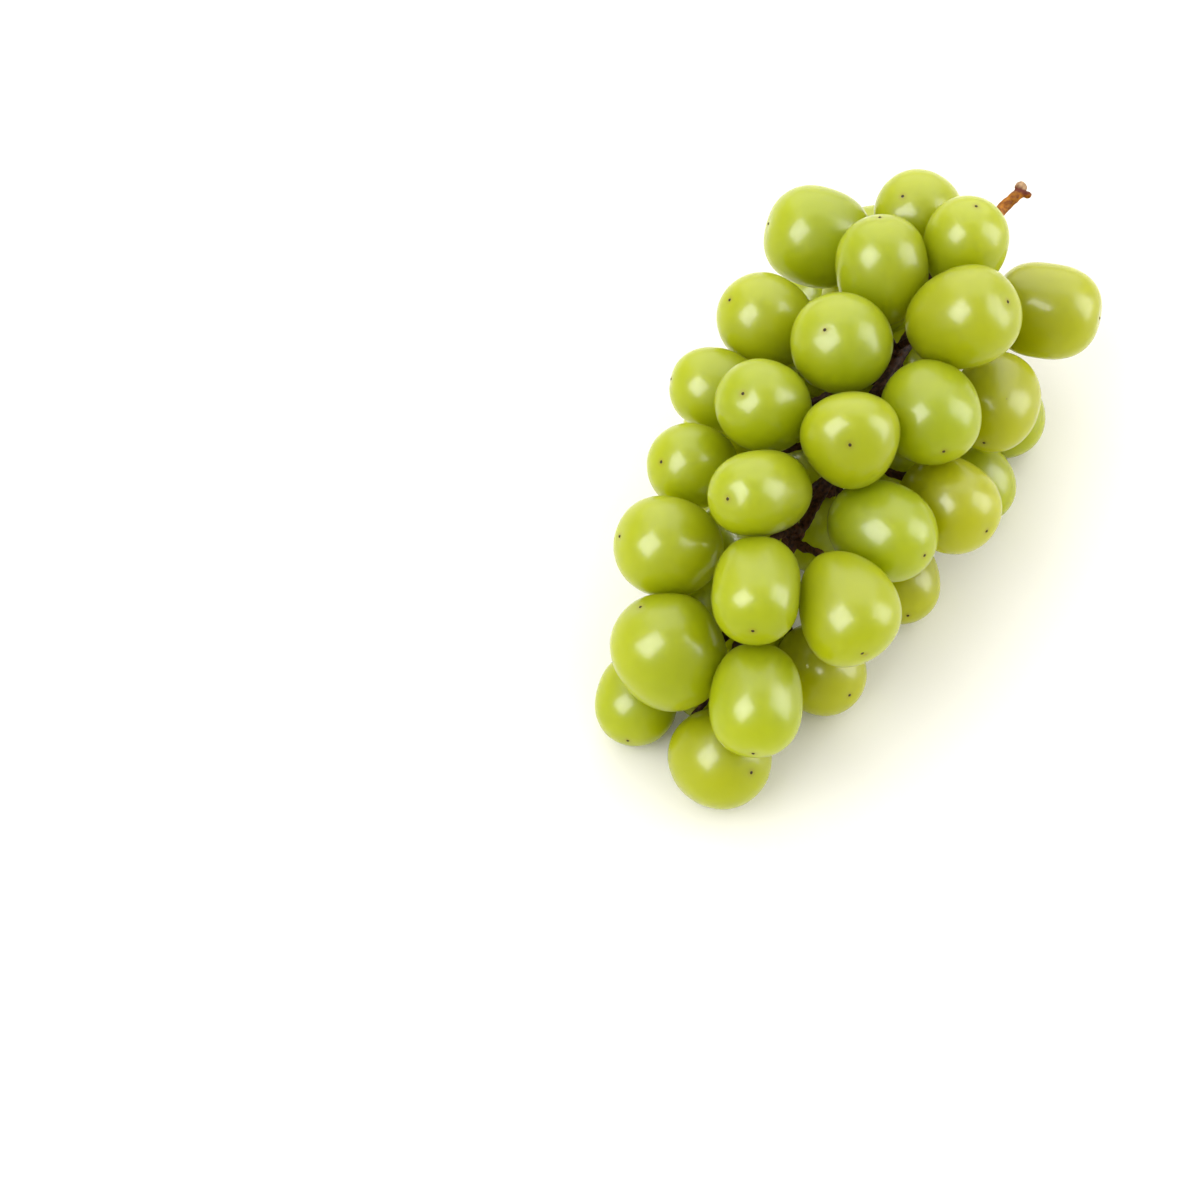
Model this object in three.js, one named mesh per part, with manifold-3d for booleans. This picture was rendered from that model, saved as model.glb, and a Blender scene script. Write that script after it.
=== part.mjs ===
// A bunch of green table grapes lying on its side: one woody stem that carries the berries.
// Units are millimetres. +Z is up and the bunch rests on the plane z = 0, with its cut stem towards +X.
import * as THREE from "three";
import { mergeVertices } from "three/addons/utils/BufferGeometryUtils.js";
import Module from "manifold-3d";

const wasm = await Module();
wasm.setup();

// Driving dimensions of the berries
const BERRY_LENGTH = 27; // stalk end to scar, where a berry states no length of its own
const BERRY_WIDTH = 23.5; // across, where a berry states no width of its own
const BERRY_REACH = 25; // from the main stem to the middle of an outer berry
const SKIN_GIVE = 0.6; // how far the soft skin gives where something presses on it: the solid stays inside
const BERRY_GAP = 0.3; // between the solids of two berries that touch
const TABLE_PRESS = 0.6; // how far the table presses the solid of a resting berry flat
const TIP_LEAN = 0.35; // how much a berry leans from straight out towards the bunch's tip

// Driving dimensions of the stem
const STEM_RADIUS = { cutEnd: 1.5, shoulder: 1.9, tip: 1.1 };
const STEM_SWELL = [0.04, 0.2]; // shares of the way along, from the cut end's radius to the shoulder's
const STEM_TAPER = [0.3, 1]; // and from the shoulder's to the tip's
const END_KNOB = { radius: 1.55, aside: 0.9 }; // the pale knob of the cut end
const SIDE_KNOB = { radius: 1.05, aside: 1.9 }; // the smaller one beside it
const BRANCH_RADIUS = 1.3;
const BRANCH_RISE = 5; // how much nearer to the cut end than its berries a branch leaves the main stem
const BRANCH_SHARE = 0.3; // the share of the way to its berries that a branch goes before it forks
const BRANCH_SPREAD = 24; // the most between the bases of berries on one branch
const BRANCH_BERRIES = 3; // the most berries on one branch
const FIRST_BRANCH_AT = 0.1; // share of the way along the main stem
const FORK_RADIUS = 1.5; // where a branch divides into stalks
const STALK_RADIUS = 0.95;
const STALK_BEND = 0.25; // how far a stalk keeps straight on from its berry, of the way to its branch
const STALK_CAP = { radius: 2.1, length: 2.4 }; // the flared end of a stalk, against its berry
const STALK_GAP = 0.3; // between a berry and the cap of its stalk
const STEM_TRIM = 0.27; // the least between a berry and any of the stem
const STALK_CLEARANCE = 0.5; // between a stalk and the berries that it passes

// Facets
const BERRY_DETAIL = 2;
const KNOB_DETAIL = 1;
const STEM_SIDES = 8;
const STEM_STEPS = 28;
const STEM_SAMPLES = 240; // where the main stem is measured from
const STALK_SIDES = 5;
const STALK_STEPS = 5;

const TABLE_SIZE = 800;

// The view that the berries were measured in: a square picture, taken from above the table.
// Its frame has X to the right, Y away from the viewer and Z up, with the picture's middle at the origin.
const PICTURE_SIDE = 1200; // pixels
const FOCAL = 2500; // focal length in pixels
const PIXELS_PER_MM = 3.86; // on the table, in the middle of the picture
const ELEVATION = THREE.MathUtils.degToRad(60); // of the line of sight, above the table
const UP = new THREE.Vector3(0, 0, 1);
const VIEW_RIGHT = new THREE.Vector3(1, 0, 0);
const VIEW_UP = new THREE.Vector3(0, Math.sin(ELEVATION), Math.cos(ELEVATION));
const VIEW_FORWARD = new THREE.Vector3(0, Math.cos(ELEVATION), -Math.sin(ELEVATION));
const EYE = VIEW_FORWARD.clone().multiplyScalar(-FOCAL / PIXELS_PER_MM);

// The main stem from its cut end to the bunch's tip: where it shows in the picture, and its height
const MAIN_STEM = [
  { pixel: [1023, 190], height: 44 },
  { pixel: [998, 213], height: 42 },
  { pixel: [950, 278], height: 40 },
  { pixel: [902, 350], height: 38 },
  { pixel: [822, 492], height: 35 },
  { pixel: [742, 640], height: 28 },
];

// The berries that show in the picture: the pixel of the middle and, where it shows, of the scar at the tip.
// reach is the distance from the main stem, height that of a berry deep in the bunch,
// and rests marks a berry on the table.
const SEEN_BERRIES = [
  { at: [816, 236], length: 27.5, width: 26 },
  { at: [922, 219], length: 26, width: 23, reach: 26 },
  { at: [882, 270], scar: [880, 220], length: 28, width: 23.5 },
  { at: [964, 245], scar: [974, 211], length: 25, width: 21.5 },
  { at: [963, 316], scar: [1004, 301], length: 29.5, width: 25 },
  { at: [1047, 311], scar: [1098, 318], length: 28.5, width: 25 },
  { at: [842, 344], scar: [825, 330], length: 27, width: 25 },
  { at: [765, 320], scar: [728, 299], length: 26.5, width: 23.5 },
  { at: [868, 296], length: 25, width: 22, height: 30 },
  { at: [714, 389], length: 24, width: 21 },
  { at: [763, 406], scar: [742, 393], length: 27, width: 23 },
  { at: [851, 440], scar: [850, 445], length: 27, width: 24 },
  { at: [930, 412], scar: [944, 452], length: 27, width: 24.5 },
  { at: [996, 402], scar: [984, 445], length: 27, width: 23 },
  { at: [1003, 412], length: 25, width: 22, rests: true },
  { at: [974, 482], length: 23, width: 20.5, rests: true },
  { at: [948, 504], scar: [984, 530], length: 27, width: 23.5 },
  { at: [692, 465], scar: [659, 461], length: 25, width: 21.5 },
  { at: [761, 493], scar: [727, 499], length: 29.5, width: 21 },
  { at: [882, 531], scar: [923, 556], length: 29, width: 24 },
  { at: [668, 547], scar: [618, 536], length: 27, width: 25 },
  { at: [757, 589], scar: [753, 631], length: 27, width: 21.5, reach: 22 },
  { at: [848, 604], scar: [865, 649], length: 29, width: 24, reach: 22 },
  { at: [899, 578], scar: [908, 616], length: 25, width: 21, rests: true },
  { at: [671, 653], scar: [641, 607], length: 29, width: 27.3, reach: 19 },
  { at: [755, 699], scar: [752, 753], length: 28, width: 22.5, reach: 19 },
  { at: [818, 669], scar: [848, 694], length: 25, width: 22, rests: true },
  { at: [643, 697], scar: [634, 739], length: 24, width: 21, rests: true },
  { at: [719, 758], scar: [750, 772], length: 26, width: 25, rests: true },
  { at: [705, 684], length: 20, width: 18.5, rests: true },
  { at: [815, 525], length: 25, width: 22, height: 20 },
  { at: [738, 545], length: 24, width: 22, height: 27 },
  { at: [702, 604], length: 20, width: 18.5, height: 16 },
  { at: [874, 246], length: 25, width: 22, height: 30 },
  { at: [818, 296], length: 22, width: 20, height: 18 },
  { at: [752, 638], length: 20, width: 18, height: 12 },
  { at: [801, 466], length: 22, width: 20, height: 22 },
  { at: [902, 463], length: 22, width: 20, height: 20 },
  { at: [912, 372], length: 22, width: 20, height: 22 },
  { at: [795, 368], length: 22, width: 20, height: 25 },
];

// The berries on the far side: the share of the way along the main stem, and the turn about it in degrees,
// from straight up and positive towards the right of the picture
const HIDDEN_BERRIES = [
  { along: 0.18, around: -150, rests: true },
  { along: 0.32, around: -150, rests: true },
  { along: 0.48, around: 165, rests: true },
  { along: 0.48, around: -140, rests: true },
  { along: 0.6, around: 180, rests: true },
  { along: 0.6, around: -120 },
  { along: 0.76, around: -158, rests: true },
];

// How the place of a berry on its line of sight is found
const SEARCH_DEPTH = 120; // before and behind the middle of the picture
const SEARCH_STEP = 0.25;
const EDGE_SCAR = 0.97; // the furthest out that a scar still shows, as a share of half the berry's length

// How the berries are eased apart until none overlaps
const SETTLE_ROUNDS = 600;
const LAST_ROUNDS = 400; // without the two pulls
const SIGHT_PULL = 0.3; // share of the way back to its line of sight that a seen berry takes each round
const REACH_PULL = 0.03; // share of the way back to its reach that a berry takes each round
const DEEP_GIVE = 4; // how much more than one in front a deep or hidden berry gives way
const STALK_ROUNDS = 12;

function solidOf(geometry) {
  const bare = geometry.clone().deleteAttribute("normal").deleteAttribute("uv");
  const merged = mergeVertices(bare, 1e-4);
  return new wasm.Manifold(
    new wasm.Mesh({
      numProp: 3,
      vertProperties: new Float32Array(merged.attributes.position.array),
      triVerts: new Uint32Array(merged.index.array),
    }),
  );
}

function geometryOf(solid) {
  const mesh = solid.getMesh();
  const geometry = new THREE.BufferGeometry();
  geometry.setAttribute("position", new THREE.BufferAttribute(mesh.vertProperties, 3));
  geometry.setIndex(new THREE.BufferAttribute(mesh.triVerts, 1));
  geometry.computeVertexNormals();
  return geometry;
}

function sightLine([column, row]) {
  const direction = VIEW_FORWARD.clone()
    .multiplyScalar(FOCAL)
    .addScaledVector(VIEW_RIGHT, column - PICTURE_SIDE / 2)
    .addScaledVector(VIEW_UP, PICTURE_SIDE / 2 - row);
  return new THREE.Ray(EYE, direction.normalize());
}

function pointAtHeight(pixel, height) {
  const line = sightLine(pixel);
  return line.at((height - EYE.z) / line.direction.z, new THREE.Vector3());
}

const mainStem = new THREE.CatmullRomCurve3(
  MAIN_STEM.map(({ pixel, height }) => pointAtHeight(pixel, height)),
);
const stemPoints = mainStem.getSpacedPoints(STEM_SAMPLES);

function nearestIndexOnStem(point) {
  const gaps = stemPoints.map((sample) => sample.distanceToSquared(point));
  return gaps.indexOf(Math.min(...gaps));
}

function nearestOnStem(point) {
  return stemPoints[nearestIndexOnStem(point)];
}

// The first point of a line of sight that is within reach of the main stem, or else its nearest one
function pointWithinReach(pixel, reach) {
  const line = sightLine(pixel);
  const middle = EYE.length();
  const nearest = { gap: Infinity };
  for (let depth = -SEARCH_DEPTH; depth < SEARCH_DEPTH; depth += SEARCH_STEP) {
    const point = line.at(middle + depth, new THREE.Vector3());
    const gap = nearestOnStem(point).distanceTo(point);
    if (gap < nearest.gap) Object.assign(nearest, { gap, point });
    if (gap <= reach) break;
  }
  return nearest.point;
}

// Straight out from the main stem, leaning towards the bunch's tip
function outwardAxis(centre) {
  const along = mainStem.getTangentAt(0.5);
  const out = centre.clone().sub(nearestOnStem(centre));
  out.addScaledVector(along, -out.dot(along)).normalize();
  return out.addScaledVector(along, TIP_LEAN).normalize();
}

// The axis that shows a berry's scar where the picture has it
function scarAxis(berry) {
  const toEye = EYE.clone().sub(berry.centre);
  const millimetresPerPixel = toEye.length() / FOCAL;
  const across = new THREE.Vector2(berry.scar[0] - berry.at[0], berry.at[1] - berry.scar[1]);
  across.multiplyScalar(millimetresPerPixel / (berry.length / 2)).clampLength(0, EDGE_SCAR);
  return toEye
    .setLength(Math.sqrt(1 - across.lengthSq()))
    .addScaledVector(VIEW_RIGHT, across.x)
    .addScaledVector(VIEW_UP, across.y)
    .normalize();
}

// A berry with the half sizes of its solid
function newBerry(row) {
  const berry = { length: BERRY_LENGTH, width: BERRY_WIDTH, reach: BERRY_REACH, ...row };
  berry.halfLength = berry.length / 2 - SKIN_GIVE;
  berry.halfWidth = berry.width / 2 - SKIN_GIVE;
  return berry;
}

function seenBerry(row) {
  const berry = newBerry(row);
  const height = berry.rests ? berry.halfWidth : berry.height;
  berry.centre = height ? pointAtHeight(berry.at, height) : pointWithinReach(berry.at, berry.reach);
  berry.axis = berry.scar ? scarAxis(berry) : outwardAxis(berry.centre);
  berry.line = sightLine(berry.at);
  berry.give = berry.height ? DEEP_GIVE : 1;
  return berry;
}

function hiddenBerry(row) {
  const berry = newBerry(row);
  const right = UP.clone().cross(mainStem.getTangentAt(berry.along)).normalize();
  const turn = THREE.MathUtils.degToRad(berry.around);
  berry.centre = mainStem
    .getPointAt(berry.along)
    .addScaledVector(UP, berry.reach * Math.cos(turn))
    .addScaledVector(right, berry.reach * Math.sin(turn));
  berry.axis = outwardAxis(berry.centre);
  berry.give = DEEP_GIVE;
  return berry;
}

// From the middle of a berry to its skin, in a direction
function skinRadius(berry, direction) {
  const along = direction.dot(berry.axis);
  return 1 / Math.hypot(along / berry.halfLength, Math.sqrt(1 - along ** 2) / berry.halfWidth);
}

// From the middle of a berry down to its lowest point
function lowestReach(berry) {
  const rise = berry.axis.z;
  return Math.hypot(rise * berry.halfLength, Math.sqrt(1 - rise ** 2) * berry.halfWidth);
}

function pushApart(one, other) {
  const between = other.centre.clone().sub(one.centre);
  const distance = between.length();
  between.normalize();
  const needed = skinRadius(one, between) + skinRadius(other, between) + BERRY_GAP;
  if (distance >= needed) return;
  const step = (needed - distance) / (one.give + other.give);
  one.centre.addScaledVector(between, -step * one.give);
  other.centre.addScaledVector(between, step * other.give);
}

function pullBack(berry) {
  if (!berry.rests && !berry.height) {
    const root = nearestOnStem(berry.centre);
    const home = berry.centre.clone().sub(root).setLength(berry.reach).add(root);
    berry.centre.lerp(home, REACH_PULL);
  }
  if (berry.line) {
    const onLine = berry.line.closestPointToPoint(berry.centre, new THREE.Vector3());
    berry.centre.lerp(onLine, SIGHT_PULL);
  }
}

// Moves a point that is nearer than a distance to another one straight away from it
function keepOff(point, other, distance) {
  const out = point.clone().sub(other);
  const needed = distance(out.clone().normalize());
  if (out.length() < needed) point.copy(out.setLength(needed).add(other));
}

function keepOffStem(berry) {
  const margin = STEM_RADIUS.shoulder + STALK_CLEARANCE;
  keepOff(berry.centre, nearestOnStem(berry.centre), (out) => skinRadius(berry, out) + margin);
}

function keepOnTable(berry) {
  const floor = lowestReach(berry) - TABLE_PRESS;
  berry.centre.z = berry.rests ? floor : Math.max(berry.centre.z, floor);
}

function settle(berries) {
  for (let round = 0; round < SETTLE_ROUNDS + LAST_ROUNDS; round++) {
    berries.forEach((one, i) => berries.slice(i + 1).forEach((other) => pushApart(one, other)));
    if (round < SETTLE_ROUNDS) berries.forEach(pullBack);
    berries.forEach(keepOffStem);
    berries.forEach(keepOnTable);
  }
  return berries;
}

const berries = settle([...SEEN_BERRIES.map(seenBerry), ...HIDDEN_BERRIES.map(hiddenBerry)]);

// An ellipsoid, grown by a margin all round
function berryGeometry(berry, margin) {
  const across = berry.halfWidth + margin;
  const turn = new THREE.Quaternion().setFromUnitVectors(UP, berry.axis);
  return new THREE.IcosahedronGeometry(1, BERRY_DETAIL)
    .scale(across, across, berry.halfLength + margin)
    .applyQuaternion(turn)
    .translate(...berry.centre);
}

// Where the cap of its stalk meets a berry
function berryBase(berry) {
  return berry.centre.clone().addScaledVector(berry.axis, -berry.halfLength - STALK_GAP);
}

// Moves a point of the stem out of the berries that it is too close to
function easeOut(point, radius) {
  for (let round = 0; round < STALK_ROUNDS; round++) {
    for (const berry of berries) {
      keepOff(point, berry.centre, (out) => skinRadius(berry, out) + radius + STALK_CLEARANCE);
    }
  }
  return point;
}

// Berries whose bases are close together share a side branch
function sideBranches() {
  const free = new Set(berries);
  const branches = [];
  for (const berry of berries) {
    if (!free.has(berry)) continue;
    const gapTo = (other) => berryBase(other).distanceTo(berryBase(berry));
    const group = [...free]
      .filter((other) => gapTo(other) < BRANCH_SPREAD)
      .sort((one, other) => gapTo(one) - gapTo(other))
      .slice(0, BRANCH_BERRIES);
    group.forEach((member) => free.delete(member));
    const middle = new THREE.Vector3();
    group.forEach((member) => middle.addScaledVector(berryBase(member), 1 / group.length));
    const share = nearestIndexOnStem(middle) / STEM_SAMPLES - BRANCH_RISE / mainStem.getLength();
    const root = mainStem.getPointAt(Math.max(share, FIRST_BRANCH_AT));
    const fork = easeOut(root.clone().lerp(middle, BRANCH_SHARE), BRANCH_RADIUS);
    branches.push({ root, fork, group });
  }
  return branches;
}

// From a fork to the base of a berry, round the berries that are in the way
function stalkCurve(fork, berry) {
  const base = berryBase(berry);
  const cap = base.clone().addScaledVector(berry.axis, -STALK_CAP.length);
  const bend = cap.clone().addScaledVector(berry.axis, -STALK_BEND * cap.distanceTo(fork));
  const points = [...new THREE.QuadraticBezierCurve3(fork, bend, cap).getPoints(STALK_STEPS - 1), base];
  for (let round = 0; round < STALK_ROUNDS; round++) {
    for (let i = 1; i < points.length - 1; i++) {
      points[i].lerp(points[i - 1].clone().lerp(points[i + 1], 0.5), 0.5);
      easeOut(points[i], STALK_RADIUS);
    }
  }
  return new THREE.CatmullRomCurve3(points);
}

// A closed tube along a curve, whose radius is a function of the share of the way along it
function taperedTube(curve, radiusAt, sides, steps) {
  const geometry = new THREE.CylinderGeometry(1, 1, 1, sides, steps);
  const frames = curve.computeFrenetFrames(steps);
  const position = geometry.attributes.position;
  for (let i = 0; i < position.count; i++) {
    const step = Math.round((0.5 + position.getY(i)) * steps);
    const radius = radiusAt(step / steps);
    const point = curve
      .getPointAt(step / steps)
      .addScaledVector(frames.binormals[step], radius * position.getX(i))
      .addScaledVector(frames.normals[step], radius * position.getZ(i));
    position.setXYZ(i, ...point);
  }
  return geometry;
}

function mainStemRadius(share) {
  const swell = THREE.MathUtils.smoothstep(share, ...STEM_SWELL);
  const fade = THREE.MathUtils.smoothstep(share, ...STEM_TAPER);
  const full = THREE.MathUtils.lerp(STEM_RADIUS.cutEnd, STEM_RADIUS.shoulder, swell);
  return THREE.MathUtils.lerp(full, STEM_RADIUS.tip, fade);
}

function stalkRadius(share) {
  return share === 1 ? STALK_CAP.radius : STALK_RADIUS;
}

function endKnob(knob, direction) {
  const place = mainStem.getPointAt(0).addScaledVector(direction, knob.aside);
  return new THREE.IcosahedronGeometry(knob.radius, KNOB_DETAIL).translate(...place);
}

function stemGeometry() {
  const left = VIEW_FORWARD.clone().cross(mainStem.getTangentAt(0)).normalize();
  const pieces = [
    taperedTube(mainStem, mainStemRadius, STEM_SIDES, STEM_STEPS),
    endKnob(END_KNOB, left),
    endKnob(SIDE_KNOB, left.clone().negate()),
  ];
  for (const { root, fork, group } of sideBranches()) {
    pieces.push(taperedTube(new THREE.LineCurve3(root, fork), () => BRANCH_RADIUS, STALK_SIDES, 1));
    pieces.push(new THREE.IcosahedronGeometry(FORK_RADIUS).translate(...fork));
    for (const berry of group) {
      pieces.push(taperedTube(stalkCurve(fork, berry), stalkRadius, STALK_SIDES, STALK_STEPS));
    }
  }
  const grownBerries = berries.map((berry) => solidOf(berryGeometry(berry, STEM_TRIM)));
  const wood = wasm.Manifold.union(pieces.map(solidOf));
  return geometryOf(wood.subtract(wasm.Manifold.union(grownBerries)));
}

const table = solidOf(
  new THREE.BoxGeometry(TABLE_SIZE, TABLE_SIZE, TABLE_SIZE).translate(0, 0, -TABLE_SIZE / 2),
);

function stemMesh() {
  const material = new THREE.MeshStandardMaterial({ color: 0x6b4a2a, roughness: 0.8, metalness: 0 });
  const mesh = new THREE.Mesh(stemGeometry(), material);
  mesh.name = "stem";
  return mesh;
}

function berryMesh(berry, index) {
  const material = new THREE.MeshStandardMaterial({ color: 0xa9bd2c, roughness: 0.3, metalness: 0 });
  const geometry = geometryOf(solidOf(berryGeometry(berry, 0)).subtract(table));
  const mesh = new THREE.Mesh(geometry.translate(...berry.centre.clone().negate()), material);
  mesh.name = "berry_" + String(index + 1).padStart(2, "0");
  mesh.position.copy(berry.centre);
  return mesh;
}

// The bunch is turned until its cut end points along +X, and its box centred on the origin
const bunch = new THREE.Group();
bunch.add(stemMesh(), ...berries.map(berryMesh));
const towardsCutEnd = mainStem.getPointAt(0).sub(mainStem.getPointAt(1));
bunch.rotation.z = -Math.atan2(towardsCutEnd.y, towardsCutEnd.x);
const middle = new THREE.Box3().setFromObject(bunch, true).getCenter(new THREE.Vector3());
bunch.position.set(-middle.x, -middle.y, 0);

const grapes = new THREE.Group();
grapes.add(bunch);

export default grapes;
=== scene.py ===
import math

import bmesh
import bpy
import numpy as np
from mathutils import Matrix, Vector, noise


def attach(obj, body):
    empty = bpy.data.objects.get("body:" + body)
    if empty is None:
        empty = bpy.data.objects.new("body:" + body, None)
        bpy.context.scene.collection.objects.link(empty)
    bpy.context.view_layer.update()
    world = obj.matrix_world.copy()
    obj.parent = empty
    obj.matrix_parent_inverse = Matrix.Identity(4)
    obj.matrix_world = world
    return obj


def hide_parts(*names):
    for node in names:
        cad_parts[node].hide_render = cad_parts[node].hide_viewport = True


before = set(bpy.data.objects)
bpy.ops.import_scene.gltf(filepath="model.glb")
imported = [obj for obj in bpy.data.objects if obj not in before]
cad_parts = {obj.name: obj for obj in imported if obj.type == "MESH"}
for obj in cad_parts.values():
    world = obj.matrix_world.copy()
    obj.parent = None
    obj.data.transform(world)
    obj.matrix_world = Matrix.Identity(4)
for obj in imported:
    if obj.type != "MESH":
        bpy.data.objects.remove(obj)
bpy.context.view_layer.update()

MM = 0.001

# The camera: where the middle of the picture falls on the table, which way the picture's right points
# from +X, the rise of the line of sight and its length
AIM = Vector((-52.06, 38.79, 0)) * MM
HEADING = math.radians(-58.77)
RISE = math.radians(60)
EYE_DISTANCE = 647.7 * MM
LENS = 75
SENSOR = 36
CLIP_START = 10 * MM
RIGHT = Vector((math.cos(HEADING), math.sin(HEADING), 0))
AWAY = Vector((-math.sin(HEADING), math.cos(HEADING), 0))
UP = Vector((0, 0, 1))
PICTURE_UP = AWAY * math.sin(RISE) + UP * math.cos(RISE)

# The lights: turn is from behind the camera and positive to the right, rise is above the table,
# both in degrees. gleam is power that only shows as a highlight on the berries.
LIGHT_DISTANCE = 1.4
LIGHTS = {
    "key": {"turn": -60, "rise": 48, "size": (1.0, 1.1), "power": 8, "gleam": 95},
    "back": {"turn": 178, "rise": 46, "size": (2.4, 2.1), "power": 12, "gleam": 120},
    "side": {"turn": 88, "rise": 26, "size": (0.9, 1.5), "power": 3, "gleam": 90},
}
AMBIENT = {"colour": (1, 0.96, 0.84, 1), "strength": 0.96}
FLOOR_SIDE = 8

# The berry's skin
RING_SEGMENTS = 72
BODY_RINGS = 46
SWELL = 0.45 * MM  # how much a berry bulges past its CAD solid, where nothing presses on it
WAVES = (
    {"size": 0.35 * MM, "across": 14 * MM},
    {"size": 0.05 * MM, "across": 5 * MM},
)
WAVE_SEEDS = (-50, 50)

# The shape of each berry: square is 2 for an ellipsoid and more for a boxier one, egg is how much wider
# the tip half is than the stalk half, and narrow is how much slimmer it gets towards a side, which
# is given in the picture's right and up
SHAPE = {"square": 2.15, "egg": 0.03, "narrow": 0.0, "side": (0, 1)}
SHAPES = {
    "01": {"square": 2.35},
    "05": {"square": 2.3, "egg": 0.05},
    "06": {"square": 2.45, "egg": -0.03},
    "12": {"square": 2.3, "narrow": 0.16, "side": (0.1, -1)},
    "19": {"square": 2.5},
    "22": {"square": 2.6},
    "23": {"narrow": 0.18, "side": (-0.6, 0.8)},
    "25": {"square": 2.3},
    "26": {"square": 2.3},
}
# How yellow a berry's skin is, from 0 to 1, where it stands out: painted shade, as the berries that lie
# low and in shade are made yellower
SHADE_YELLOWING = {"05": 0.5, "06": 0.8, "14": 0.9, "17": 1.0, "24": 0.9, "27": 0.9, "29": 0.6}
USUAL_RIPENESS = (0.05, 0.4)

# Where berries meet each other and the table
TABLE_TOP = 0.05 * MM  # points of a solid below this height lie on the table
PLANE_ROUNDS = 60
PLANE_STEP = 0.5
NEIGHBOUR_REACH = 4 * SWELL
CONTACT_REACH = 8 * SWELL
CONTACT_GAP = 0.02 * MM
CONTACT_SOFTNESS = (0.35 * MM, 0.12 * MM, 0.04 * MM)  # less in each round

# The dark scar at a berry's tip, and the dimple round it
SCAR_RADIUS = 0.38 * MM
SCAR_HEIGHT = 0.22 * MM
SCAR_STEEPNESS = 1.6
SCAR_RINGS = (0.15, 0.5, 0.8, 1.0, 1.25, 1.7, 2.4, 3.4)  # in scar radii
TIP_DIMPLE = {"radius": 2.2 * MM, "depth": 0.2 * MM}
FAR_FROM_TIP = 1.0

# The stem's bark
MERGE_DISTANCE = 0.001 * MM
VOXEL = 0.3 * MM
SMOOTH_ROUNDS = 4
WARTS = {"count": 7, "ring": 1.75 * MM, "radius": 0.62 * MM, "behind": 0.45 * MM, "subdivisions": 2}
WART_TURNS = (-0.2, 0.2)  # in steps round the ring
WART_RINGS = (0.85, 1.1)
WART_RADII = (0.8, 1.2)
BARK_SWELL = 0.15 * MM  # what the smoothing takes off
BARK_WAVES = (
    {"size": 0.28 * MM, "across": 2.2 * MM},
    {"size": 0.14 * MM, "across": 0.9 * MM},
)

# The look of the skin: limits are in the berry's own frame, with its tip along +Z, and share is how much
# of the colour shows at most
SKIN_COLOURS = {
    "green": (0.250, 0.310, 0.0, 1),
    "pale": (0.288, 0.340, 0.001, 1),
    "yellow": (0.305, 0.322, 0.0, 1),
    "stalk_end": (0.34, 0.375, 0.005, 1),
    "halo": (0.25, 0.24, 0.01, 1),
    "speck": (0.10, 0.08, 0.01, 1),
}
SKIN_FINISH = {
    "Roughness": 0.16,
    "IOR": 1.42,
    "Specular IOR Level": 0.19,
    "Coat Weight": 0.25,
    "Coat Roughness": 0.45,
    "Coat IOR": 1.42,
    "Subsurface Weight": 1.0,
    "Subsurface Scale": 40 * MM,
    "Subsurface Radius": (1.0, 0.95, 0.15),
}
PATTERN_SHIFT = 40.0
CLOUDS = {"scale": 60.0, "detail": 2.0, "limits": (0.3, 0.7)}
STALK_END = {"limits": (-6 * MM, -14 * MM), "share": 0.5}
HALO = {"limits": (1.6 * MM, 0.5 * MM), "share": 0.6}
SPECKS = {"scale": 140.0, "limits": (0.055, 0.025), "share": 0.6}

# The look of the scar
SCAR_COLOURS = {"dark": (0.012, 0.008, 0.003, 1), "brown": (0.06, 0.035, 0.012, 1)}
SCAR_FINISH = {"Roughness": 0.7, "Specular IOR Level": 0.05}
SCAR_GRAIN_SCALE = 4000.0

# The look of the bark: the last three pairs are distances from the stem's cut end
BARK_COLOURS = {
    # dark and brown are the painted shade of the stem inside the bunch; dark also draws the streaks
    "dark": (0.020, 0.008, 0.004, 1),
    "brown": (0.075, 0.028, 0.010, 1),
    "rust": (0.25, 0.066, 0.001, 1),
    "orange": (0.52, 0.19, 0.003, 1),
    "red": (0.13, 0.022, 0.008, 1),
    "pale_low": (0.24, 0.13, 0.06, 1),
    "pale": (0.50, 0.32, 0.18, 1),
}
BARK_FINISH = {"Roughness": 0.6, "Specular IOR Level": 0.06}
GRAIN = {"scale": 900.0, "detail": 4.0, "limits": (0.35, 0.65)}
STREAKS = {"scale": 300.0, "detail": 3.0, "limits": (0.4, 0.65), "share": 0.35}
# Painted shade: further than these distances from the cut end the stem is dark brown, for the shade
# inside the bunch
SHADED_INSIDE_LIMITS = (9 * MM, 18 * MM)
RED_BAND_LIMITS = (4.4 * MM, 3.4 * MM)
KNOB_LIMITS = (3.2 * MM, 2.5 * MM)

FLOOR_FINISH = {"Base Color": (0.93, 0.93, 0.92, 1), "Roughness": 0.8, "Specular IOR Level": 0.1}

rng = np.random.default_rng(7)


def node_points(name):
    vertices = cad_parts[name].data.vertices
    points = np.empty(len(vertices) * 3)
    vertices.foreach_get("co", points)
    return points.reshape(-1, 3)


stem_points = node_points("stem")


# An ellipsoid through the points of a berry's solid, without those that lie on the table: its middle, its
# long axis, half its length and half its width
def fit_ellipsoid(points):
    points = points[points[:, 2] > TABLE_TOP] / MM
    middle = points.mean(0)
    x, y, z = (points - middle).T
    terms = np.stack([x * x, y * y, z * z, 2 * x * y, 2 * x * z, 2 * y * z, 2 * x, 2 * y, 2 * z], 1)
    a, b, c, d, e, f, *linear = np.linalg.lstsq(terms, np.ones(len(points)), rcond=None)[0]
    quadric = np.array([[a, d, e], [d, b, f], [e, f, c]])
    offset = -np.linalg.solve(quadric, linear)
    values, vectors = np.linalg.eigh(quadric / (1 + offset @ quadric @ offset))
    radii = 1 / np.sqrt(values)
    return (middle + offset) * MM, vectors[:, 0], radii[0] * MM, radii[1:].mean() * MM


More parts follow.
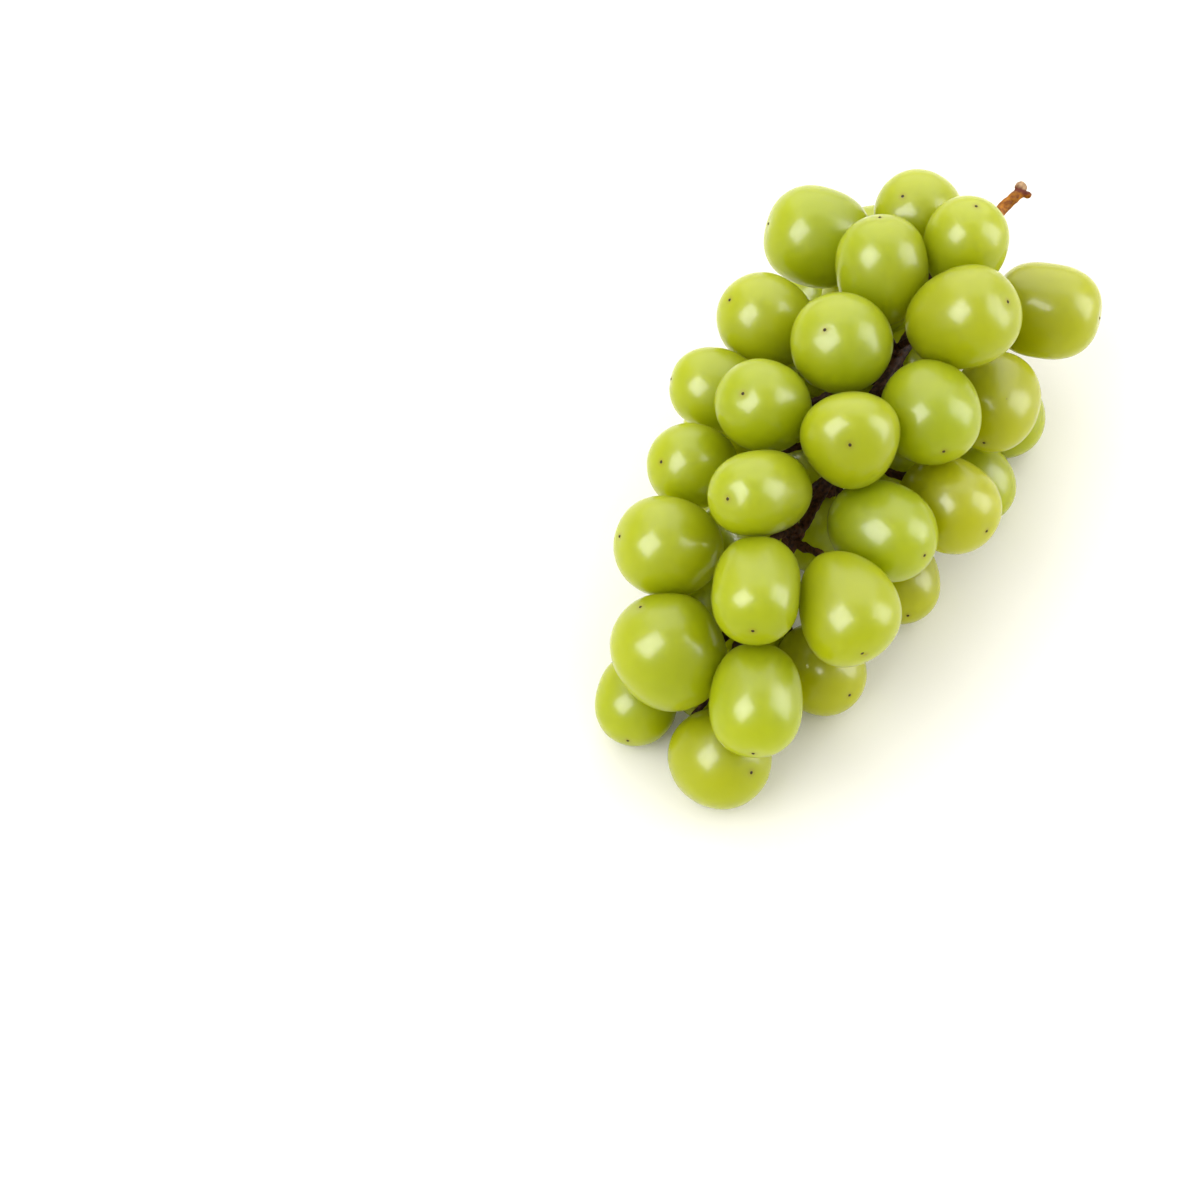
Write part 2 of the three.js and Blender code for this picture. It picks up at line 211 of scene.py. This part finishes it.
# A berry's axis points from the end at the stem to its tip
class Berry:
    def __init__(self, node):
        self.node = node
        self.number = node.split("_")[1]
        self.centre, self.axis, self.half_length, self.half_width = fit_ellipsoid(node_points(node))
        ends = [self.centre + sign * self.half_length * self.axis for sign in (1, -1)]
        gaps = [np.linalg.norm(stem_points - end, axis=1).min() for end in ends]
        if gaps[0] < gaps[1]:
            self.axis = -self.axis
        self.base = self.centre - self.half_length * self.axis
        self.turn = np.array(Vector(self.axis).to_track_quat("Z", "Y").to_matrix())
        radii = np.array([self.half_width, self.half_width, self.half_length])
        self.spread = self.turn @ np.diag(radii**2) @ self.turn.T

    # The furthest point of the berry's ellipsoid in a direction
    def furthest(self, direction):
        return self.centre + self.spread @ direction / math.sqrt(direction @ self.spread @ direction)


berries = [Berry(name) for name in sorted(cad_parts) if name.startswith("berry")]


# The plane midway between two berries: a point on it, its normal from one towards the other, and the gap
def plane_between(one, other):
    normal = other.centre - one.centre
    distance = np.linalg.norm(normal)
    normal = normal / distance
    for _ in range(PLANE_ROUNDS):
        step = other.furthest(-normal) - one.furthest(normal)
        normal = normal + PLANE_STEP * (step - step @ normal * normal) / distance
        normal = normal / np.linalg.norm(normal)
    near = one.furthest(normal)
    far = other.furthest(-normal)
    return (near + far) / 2, normal, (far - near) @ normal


# What presses on each berry: planes as a point and a normal that points out of the berry
def contact_planes():
    planes = {berry.node: [(np.zeros(3), np.array([0, 0, -1.0]))] for berry in berries}
    for i, one in enumerate(berries):
        for other in berries[i + 1:]:
            reach = one.half_length + other.half_length + NEIGHBOUR_REACH
            if np.linalg.norm(one.centre - other.centre) > reach:
                continue
            point, normal, gap = plane_between(one, other)
            if gap < CONTACT_REACH:
                planes[one.node].append((point, normal))
                planes[other.node].append((point, -normal))
    return planes


# Moves points that reach a plane softly back behind it
def press(points, planes):
    for softness in CONTACT_SOFTNESS:
        for point, normal in planes:
            depth = (point - points) @ normal - CONTACT_GAP
            kept = softness * np.logaddexp(0, depth / softness)
            points = points - np.outer(kept - depth, normal)
    return points


# Low waves of the skin: a height for each direction
def waves(directions, radius, seed):
    heights = np.zeros(len(directions))
    for layer in WAVES:
        scale = radius / layer["across"]
        heights += [layer["size"] * noise.noise(Vector(d) * scale + seed) for d in directions]
    return heights


# Unit directions in rings from the tip, close together round the scar
def ring_directions(half_length):
    scar_angles = [SCAR_RADIUS * share / half_length for share in SCAR_RINGS]
    body_angles = np.linspace(scar_angles[-1], math.pi, BODY_RINGS + 2)[1:-1]
    angles = np.concatenate([scar_angles, body_angles])
    around = np.linspace(0, 2 * math.pi, RING_SEGMENTS, endpoint=False)
    circle = np.stack([np.cos(around), np.sin(around), np.zeros(RING_SEGMENTS)], 1)
    rings = [math.sin(angle) * circle + (0, 0, math.cos(angle)) for angle in angles]
    return np.concatenate([[(0, 0, 1)], *rings, [(0, 0, -1)]]), len(angles)


def ring_faces(rings):
    last = rings * RING_SEGMENTS + 1
    faces = []
    for k in range(RING_SEGMENTS):
        after = (k + 1) % RING_SEGMENTS
        faces.append((0, 1 + k, 1 + after))
        for ring in range(rings - 1):
            start = 1 + ring * RING_SEGMENTS
            following = start + RING_SEGMENTS
            faces.append((start + k, following + k, following + after, start + after))
        start = last - RING_SEGMENTS
        faces.append((start + k, last, start + after))
    return faces


# Makes points slimmer towards a direction
def narrowed(points, direction, share, reach):
    along = points @ direction
    axis_part = np.outer(along, direction)
    return axis_part + (points - axis_part) * (1 - share * along / reach)[:, None]


# The free shape of a berry in its own frame, with its tip along +Z
def berry_points(berry):
    shape = SHAPE | SHAPES.get(berry.number, {})
    directions, rings = ring_directions(berry.half_length)
    across = np.hypot(directions[:, 0], directions[:, 1])
    along = np.abs(directions[:, 2])
    length = berry.half_length + SWELL
    width = berry.half_width + SWELL
    square = shape["square"]
    reach = ((along / length) ** square + (across / width) ** square) ** (-1 / square)
    seed = Vector(rng.uniform(*WAVE_SEEDS, 3))
    reach = reach + waves(directions, berry.half_length, seed)
    points = directions * reach[:, None]
    side = np.array(RIGHT * shape["side"][0] + PICTURE_UP * shape["side"][1]) @ berry.turn
    points = narrowed(points, np.array([0, 0, 1]), -shape["egg"], length)
    points = narrowed(points, side, shape["narrow"], length)
    from_tip = np.where(points[:, 2] > 0, np.hypot(points[:, 0], points[:, 1]), FAR_FROM_TIP)
    points[:, 2] -= TIP_DIMPLE["depth"] * np.exp(-((from_tip / TIP_DIMPLE["radius"]) ** 2))
    bump = SCAR_STEEPNESS - SCAR_STEEPNESS * (from_tip / SCAR_RADIUS) ** 2
    points[:, 2] += SCAR_HEIGHT * np.clip(bump, 0, 1)
    return points, rings


def new_object(name, data):
    piece = bpy.data.objects.new(name, data)
    bpy.context.scene.collection.objects.link(piece)
    return piece


# The mesh keeps each point's place in the berry's own frame for its materials
def berry_piece(berry, planes, skin, scar):
    points, rings = berry_points(berry)
    pressed = press(points @ berry.turn.T + berry.centre, planes) - berry.centre
    mesh = bpy.data.meshes.new("grape_" + berry.number)
    mesh.from_pydata(pressed.tolist(), [], ring_faces(rings))
    place = mesh.attributes.new("berry_place", "FLOAT_VECTOR", "POINT")
    place.data.foreach_set("vector", (pressed @ berry.turn).ravel())
    mesh.materials.append(skin)
    mesh.materials.append(scar)
    rings_on_scar = int(np.searchsorted(SCAR_RINGS, 1.0)) + 1
    scar_vertices = 1 + rings_on_scar * RING_SEGMENTS
    for face in mesh.polygons:
        face.use_smooth = True
        face.material_index = int(max(face.vertices) < scar_vertices)
    piece = new_object(mesh.name, mesh)
    piece.location = berry.centre
    # Painted shade: the berries listed as yellower lie low and in shade; the others get a random ripeness
    ripeness_and_shade = SHADE_YELLOWING.get(berry.number, rng.uniform(*USUAL_RIPENESS))
    piece.color = (ripeness_and_shade, rng.uniform(), 0, 1)
    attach(piece, "root")
    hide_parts(berry.node)


def applied_mesh(piece):
    graph = bpy.context.evaluated_depsgraph_get()
    return bpy.data.meshes.new_from_object(piece.evaluated_get(graph))


# The collar of small warts where a stalk meets its berry
def add_warts(form, berry):
    for k in range(WARTS["count"]):
        angle = 2 * math.pi * (k + rng.uniform(*WART_TURNS)) / WARTS["count"]
        ring = WARTS["ring"] * rng.uniform(*WART_RINGS)
        local = np.array([ring * math.cos(angle), ring * math.sin(angle), -WARTS["behind"]])
        place = Matrix.Translation(berry.base + berry.turn @ local)
        radius = WARTS["radius"] * rng.uniform(*WART_RADII)
        bmesh.ops.create_icosphere(form, subdivisions=WARTS["subdivisions"], radius=radius, matrix=place)


# The stem and its warts as one skin of bark
def stem_piece(bark):
    form = bmesh.new()
    form.from_mesh(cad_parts["stem"].data)
    bmesh.ops.remove_doubles(form, verts=form.verts, dist=MERGE_DISTANCE)
    for berry in berries:
        add_warts(form, berry)
    mesh = bpy.data.meshes.new("grape_stem")
    form.to_mesh(mesh)
    form.free()
    piece = new_object("grape_stem", mesh)
    remesh = piece.modifiers.new("remesh", "REMESH")
    remesh.mode = "VOXEL"
    remesh.voxel_size = VOXEL
    smooth = piece.modifiers.new("smooth", "SMOOTH")
    smooth.iterations = SMOOTH_ROUNDS
    mesh = applied_mesh(piece)
    piece.modifiers.clear()
    piece.data = mesh
    mesh.materials.clear()
    mesh.materials.append(bark)
    normals = [vertex.normal.copy() for vertex in mesh.vertices]
    for vertex, normal in zip(mesh.vertices, normals):
        rise = sum(layer["size"] * noise.noise(vertex.co / layer["across"]) for layer in BARK_WAVES)
        vertex.co += normal * (BARK_SWELL + rise)
    for face in mesh.polygons:
        face.use_smooth = True
    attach(piece, "root")
    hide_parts("stem")


# A material and what its nodes are made with
class Nodes:
    def __init__(self, name):
        self.material = bpy.data.materials.new(name)
        self.material.use_nodes = True
        self.tree = self.material.node_tree
        self.shader = self.tree.nodes["Principled BSDF"]

    def add(self, kind, inputs=None, **settings):
        made = self.tree.nodes.new("ShaderNode" + kind)
        for key, value in settings.items():
            setattr(made, key, value)
        for key, value in (inputs or {}).items():
            self.put(made.inputs[key], value)
        return made

    def put(self, socket, value):
        if isinstance(value, bpy.types.NodeSocket):
            self.tree.links.new(value, socket)
        else:
            socket.default_value = value

    def math(self, operation, first, second):
        return self.add("Math", {0: first, 1: second}, operation=operation).outputs[0]

    def ramp(self, value, limits, share=1.0):
        low, high = limits
        inputs = {"Value": value, "From Min": low, "From Max": high, "To Min": 0.0, "To Max": share}
        return self.add("MapRange", inputs, interpolation_type="SMOOTHSTEP").outputs["Result"]

    def blend(self, factor, first, second):
        made = self.add("Mix", data_type="RGBA")
        colours = [socket for socket in made.inputs if socket.type == "RGBA"]
        self.put(made.inputs["Factor"], factor)
        self.put(colours[0], first)
        self.put(colours[1], second)
        return [socket for socket in made.outputs if socket.type == "RGBA"][0]

    def noise(self, place, scale, detail=2.0, shift=0.0):
        inputs = {"Vector": place, "W": shift, "Scale": scale, "Detail": detail}
        return self.add("TexNoise", inputs, noise_dimensions="4D").outputs["Fac"]

    # Clouds of a pattern, from 0 to 1
    def clouds(self, place, pattern, shift=0.0):
        value = self.noise(place, pattern["scale"], pattern["detail"], shift)
        return self.ramp(value, pattern["limits"])

    def set(self, inputs):
        for key, value in inputs.items():
            self.put(self.shader.inputs[key], value)


def berry_place(nodes):
    return nodes.add("Attribute", attribute_name="berry_place").outputs["Vector"]


# Each berry has its own yellowness (a random ripeness, and painted shade on the low, shaded berries),
# paler clouds, a few specks and a darker ring round its scar
def skin_material():
    nodes = Nodes("grape_skin")
    place = berry_place(nodes)
    own = nodes.add("SeparateColor", {0: nodes.add("ObjectInfo").outputs["Color"]})
    shift = nodes.math("MULTIPLY", own.outputs["Green"], PATTERN_SHIFT)
    cloud = nodes.clouds(place, CLOUDS, shift)
    green = nodes.blend(cloud, SKIN_COLOURS["green"], SKIN_COLOURS["pale"])
    # The object's red channel makes the skin yellower: painted shade on the low, shaded berries, random
    # ripeness on the others
    colour = nodes.blend(own.outputs["Red"], green, SKIN_COLOURS["yellow"])
    x_y_z = nodes.add("SeparateXYZ", {0: place})
    height = x_y_z.outputs["Z"]
    paler = nodes.ramp(height, **STALK_END)
    colour = nodes.blend(paler, colour, SKIN_COLOURS["stalk_end"])
    flat = nodes.add("CombineXYZ", {"X": x_y_z.outputs["X"], "Y": x_y_z.outputs["Y"]}).outputs[0]
    from_axis = nodes.add("VectorMath", {0: flat}, operation="LENGTH").outputs["Value"]
    halo = nodes.ramp(from_axis, **HALO)
    halo = nodes.math("MULTIPLY", halo, nodes.math("GREATER_THAN", height, 0.0))
    colour = nodes.blend(halo, colour, SKIN_COLOURS["halo"])
    inputs = {"Vector": place, "W": shift, "Scale": SPECKS["scale"]}
    cells = nodes.add("TexVoronoi", inputs, voronoi_dimensions="4D")
    speck = nodes.ramp(cells.outputs["Distance"], SPECKS["limits"], SPECKS["share"])
    colour = nodes.blend(speck, colour, SKIN_COLOURS["speck"])
    nodes.set({"Base Color": colour, **SKIN_FINISH})
    return nodes.material


def scar_material():
    nodes = Nodes("grape_scar")
    grain = nodes.noise(berry_place(nodes), SCAR_GRAIN_SCALE)
    colour = nodes.blend(grain, SCAR_COLOURS["dark"], SCAR_COLOURS["brown"])
    nodes.set({"Base Color": colour, **SCAR_FINISH})
    return nodes.material


# Bark painted dark inside the bunch, a painted shade where it lies among the berries, orange-brown
# outside it, with a dark red band and a pale knob at the cut end
def bark_material():
    nodes = Nodes("stem_bark")
    place = nodes.add("TexCoord").outputs["Object"]
    end = tuple(stem_points[stem_points[:, 0].argmax()])
    from_end = nodes.add("VectorMath", {0: place, 1: end}, operation="DISTANCE").outputs["Value"]
    grain = nodes.clouds(place, GRAIN)
    streaks = nodes.clouds(place, STREAKS)
    # Painted shade: the dark brown that the stem takes inside the bunch
    shaded_inside = nodes.blend(grain, BARK_COLOURS["dark"], BARK_COLOURS["brown"])
    outside = nodes.blend(grain, BARK_COLOURS["rust"], BARK_COLOURS["orange"])
    streak_share = nodes.math("MULTIPLY", streaks, STREAKS["share"])
    outside = nodes.blend(streak_share, outside, BARK_COLOURS["dark"])
    knob = nodes.blend(grain, BARK_COLOURS["pale_low"], BARK_COLOURS["pale"])
    colour = nodes.blend(nodes.ramp(from_end, SHADED_INSIDE_LIMITS), outside, shaded_inside)
    colour = nodes.blend(nodes.ramp(from_end, RED_BAND_LIMITS), colour, BARK_COLOURS["red"])
    colour = nodes.blend(nodes.ramp(from_end, KNOB_LIMITS), colour, knob)
    nodes.set({"Base Color": colour, **BARK_FINISH})
    return nodes.material


def floor_material():
    nodes = Nodes("table")
    nodes.set(FLOOR_FINISH)
    return nodes.material


# The stage
def pale_floor():
    half = FLOOR_SIDE / 2
    corners = [(-half, -half, 0), (half, -half, 0), (half, half, 0), (-half, half, 0)]
    mesh = bpy.data.meshes.new("floor")
    mesh.from_pydata(corners, [], [(0, 1, 2, 3)])
    mesh.materials.append(floor_material())
    new_object("floor", mesh)


def area_light(name, towards, size, power):
    light = bpy.data.lights.new(name, "AREA")
    light.shape = "RECTANGLE"
    light.size, light.size_y = size
    light.energy = power
    lamp = new_object(name, light)
    lamp.location = towards * LIGHT_DISTANCE
    lamp.rotation_euler = towards.to_track_quat("Z", "Y").to_euler()
    return lamp


def soft_light(name, turn, rise, size, power, gleam):
    turn = math.radians(turn)
    rise = math.radians(rise)
    level = RIGHT * math.sin(turn) - AWAY * math.cos(turn)
    towards = level * math.cos(rise) + UP * math.sin(rise)
    area_light(name, towards, size, power)
    area_light(name + "_gleam", towards, size, gleam).visible_diffuse = False


def camera():
    data = bpy.data.cameras.new("camera")
    data.lens = LENS
    data.sensor_width = SENSOR
    data.clip_start = CLIP_START
    made = new_object("camera", data)
    back = UP * math.sin(RISE) - AWAY * math.cos(RISE)
    made.location = AIM + back * EYE_DISTANCE
    made.rotation_euler = back.to_track_quat("Z", "Y").to_euler()
    bpy.context.scene.camera = made


def studio():
    scene = bpy.context.scene
    scene.view_settings.view_transform = "Standard"
    scene.world = bpy.data.worlds.new("studio")
    scene.world.use_nodes = True
    sky = scene.world.node_tree.nodes["Background"]
    sky.inputs["Color"].default_value = AMBIENT["colour"]
    sky.inputs["Strength"].default_value = AMBIENT["strength"]
    for name, light in LIGHTS.items():
        soft_light(name, **light)


camera()
studio()
pale_floor()
planes = contact_planes()
skin = skin_material()
scar = scar_material()
for berry in berries:
    berry_piece(berry, planes[berry.node], skin, scar)
stem_piece(bark_material())
